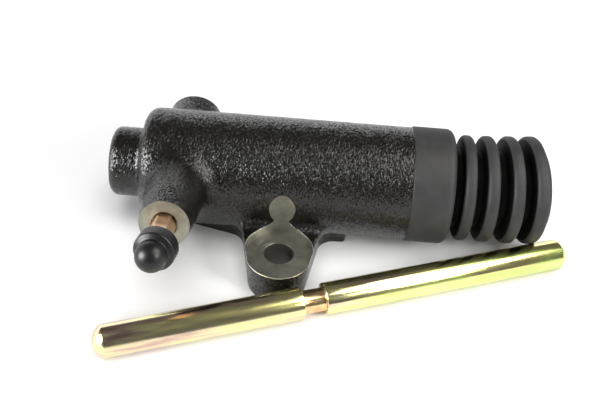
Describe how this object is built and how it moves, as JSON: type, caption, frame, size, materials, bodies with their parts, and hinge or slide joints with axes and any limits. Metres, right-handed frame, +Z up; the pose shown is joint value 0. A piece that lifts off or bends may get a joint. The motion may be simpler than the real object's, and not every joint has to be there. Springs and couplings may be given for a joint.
{
  "type": "clutch slave cylinder",
  "caption": "Hydraulic clutch slave cylinder with flange ears, bleeder screw, bellows boot and a loose push rod.",
  "frame": {"origin": "midway between the two bolt holes, on the flange's mounting face", "axes": "+X along the bore from the closed end to the boot, +Y from the bleeder side to the inlet side, +Z up from the mounting face"},
  "size_m": [0.1471, 0.1054, 0.0405],
  "materials": {
    "cast_body": "black paint on a rough casting, machined faces bare",
    "rod_plating": "yellow zinc plating, bright",
    "piston_alloy": "turned",
    "seal_rubber": "smooth",
    "boot_rubber": "matt",
    "spring_steel": "drawn wire",
    "ring_steel": "phosphated",
    "bleeder_plating": "copper-toned plating",
    "cap_rubber": "soft sheen"
  },
  "bodies": {
    "cylinder": {"housing": "cast_body", "retaining_ring": "ring_steel", "boot": "boot_rubber", "push_rod": "rod_plating", "return_spring": "spring_steel"},
    "piston_group": {"piston": "piston_alloy", "primary_cup": "seal_rubber", "secondary_seal": "seal_rubber", "spring_seat": "spring_steel"},
    "bleeder": {"bleeder_screw": "bleeder_plating"},
    "cap": {"bleeder_cap": "cap_rubber"}
  },
  "joints": [
    {"name": "piston_stroke", "type": "slide", "parent": "cylinder", "child": "piston_group", "axis": [-1, 0, 0], "range_m": [0, 0.03], "stiffness_N_per_m": 1900, "springref_m": -0.005, "deforming": ["return_spring"]},
    {"name": "bleeder_turn", "type": "hinge", "parent": "cylinder", "child": "bleeder", "pos_m": [-0.0324, -0.03999, 0.03071], "axis": [0, -0.9659, 0.2588], "range_deg": [0, 270]},
    {"name": "bleeder_cap_pull", "type": "slide", "parent": "bleeder", "child": "cap", "axis": [0, -0.9659, 0.2588], "range_m": [0, 0.012]}
  ]
}
